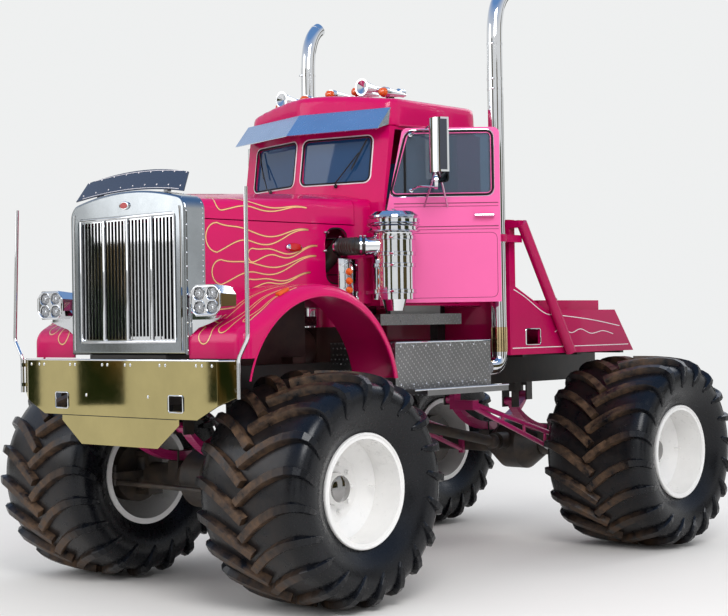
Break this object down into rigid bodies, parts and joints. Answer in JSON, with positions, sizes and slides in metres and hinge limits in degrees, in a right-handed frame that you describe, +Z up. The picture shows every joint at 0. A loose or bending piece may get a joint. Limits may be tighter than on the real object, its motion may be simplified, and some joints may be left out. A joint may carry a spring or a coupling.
{
  "type": "monster truck",
  "caption": "Long-nosed tractor cab on four giant flotation tyres, with steering, spinning wheels, opening doors and folding hood lids.",
  "frame": {"origin": "on the ground under the centre of the box round the whole vehicle", "axes": "+X to the vehicle's left, +Y to its rear, +Z up"},
  "size_m": [3.68, 5.54, 4.708],
  "materials": {
    "paint": "gloss, deep magenta, plain ground for an own striping layout",
    "deck_paint": "gloss, deep magenta red",
    "chassis_black": "satin black, dusty",
    "suspension_paint": "satin magenta",
    "wheel_white": "gloss white",
    "tyre": "matte, muddy on the lugs",
    "chrome": "polished",
    "aluminium": "brushed",
    "castings": "rough cast, oily",
    "glass": "tinted, clear",
    "lamp_glass": "clear, fluted",
    "amber": "translucent amber",
    "deflector_blue": "gloss navy",
    "interior": "grained",
    "seat_leather": "worn",
    "hose": "matte"
  },
  "bodies": {
    "truck": {"air_cleaner": "chrome", "air_horns": "chrome", "amber_lenses": "amber", "axle_front": "chassis_black", "axle_rear": "chassis_black", "brace_frame": "deck_paint", "bug_deflector": "deflector_blue", "bumper": "chrome", "cab_body": "paint", "cab_glass": "glass", "cab_roof": "paint", "crossmembers": "chassis_black", "dashboard": "interior", "deck": "deck_paint", "deck_supports": "chassis_black", "engine": "castings", "fenders": "paint", "frame": "chassis_black", "grille": "chrome", "guide_poles": "chrome", "headlamp_lenses": "lamp_glass", "headlamp_pods": "chrome", "hood_sides": "paint", "intake_pipe": "hose", "leaf_springs": "suspension_paint", "radiator_core": "aluminium", "radiator_shell": "chrome", "roof_lamps": "chrome", "seats": "seat_leather", "spring_hangers": "chassis_black", "stacks": "chrome", "steps": "aluminium", "sun_visor": "aluminium", "traction_bars": "suspension_paint", "transfer_case": "castings"},
    "wheel_front_left": {"tyre_front_left": "tyre", "wheel_front_left": "wheel_white"},
    "wheel_front_right": {"tyre_front_right": "tyre", "wheel_front_right": "wheel_white"},
    "wheel_rear_left": {"tyre_rear_left": "tyre", "wheel_rear_left": "wheel_white"},
    "wheel_rear_right": {"tyre_rear_right": "tyre", "wheel_rear_right": "wheel_white"},
    "knuckle_left": {"knuckle_left": "castings"},
    "door_left": {"door_left": "paint", "door_glass_left": "glass", "mirror_left": "chrome"},
    "hood_left": {"hood_left": "paint"},
    "knuckle_right": {"knuckle_right": "castings"},
    "door_right": {"door_right": "paint", "door_glass_right": "glass", "mirror_right": "chrome"},
    "hood_right": {"hood_right": "paint"},
    "tie_rod": {"tie_rod": "chassis_black"}
  },
  "joints": [
    {"name": "steer_left", "type": "hinge", "parent": "truck", "child": "knuckle_left", "pos_m": [0.78, -1.876, 0.822], "axis": [0, 0, 1], "range_deg": [-20, 20]},
    {"name": "steer_right", "type": "hinge", "parent": "truck", "child": "knuckle_right", "pos_m": [-0.78, -1.876, 0.822], "axis": [0, 0, 1], "range_deg": [-20, 20]},
    {"name": "tie_rod_swing", "type": "hinge", "parent": "knuckle_left", "child": "tie_rod", "pos_m": [0.78, -2.176, 0.77], "axis": [0, 0, 1], "range_deg": [-20, 20]},
    {"name": "spin_front_left", "type": "hinge", "parent": "knuckle_left", "child": "wheel_front_left", "pos_m": [1.16, -1.876, 0.822], "axis": [1, 0, 0], "continuous": true},
    {"name": "spin_front_right", "type": "hinge", "parent": "knuckle_right", "child": "wheel_front_right", "pos_m": [-1.16, -1.876, 0.822], "axis": [1, 0, 0], "continuous": true},
    {"name": "spin_rear_left", "type": "hinge", "parent": "truck", "child": "wheel_rear_left", "pos_m": [1.32, 1.948, 0.822], "axis": [1, 0, 0], "continuous": true},
    {"name": "spin_rear_right", "type": "hinge", "parent": "truck", "child": "wheel_rear_right", "pos_m": [-1.32, 1.948, 0.822], "axis": [1, 0, 0], "continuous": true},
    {"name": "door_left_hinge", "type": "hinge", "parent": "truck", "child": "door_left", "pos_m": [0.79, -0.775, 2.8], "axis": [0, 0, -1], "range_deg": [-47, 23]},
    {"name": "door_right_hinge", "type": "hinge", "parent": "truck", "child": "door_right", "pos_m": [-0.79, -0.775, 2.8], "axis": [0, 0, 1], "range_deg": [0, 70]},
    {"name": "hood_left_hinge", "type": "hinge", "parent": "truck", "child": "hood_left", "pos_m": [0.021, -1.747, 2.9625], "axis": [0, -0.9987, -0.0508], "range_deg": [0, 70]},
    {"name": "hood_right_hinge", "type": "hinge", "parent": "truck", "child": "hood_right", "pos_m": [-0.021, -1.747, 2.9625], "axis": [0, 0.9987, 0.0508], "range_deg": [0, 70]}
  ],
  "couplings": [
    {"joint": "steer_right", "follows": "steer_left", "ratio": 1},
    {"joint": "tie_rod_swing", "follows": "steer_left", "ratio": -1}
  ]
}
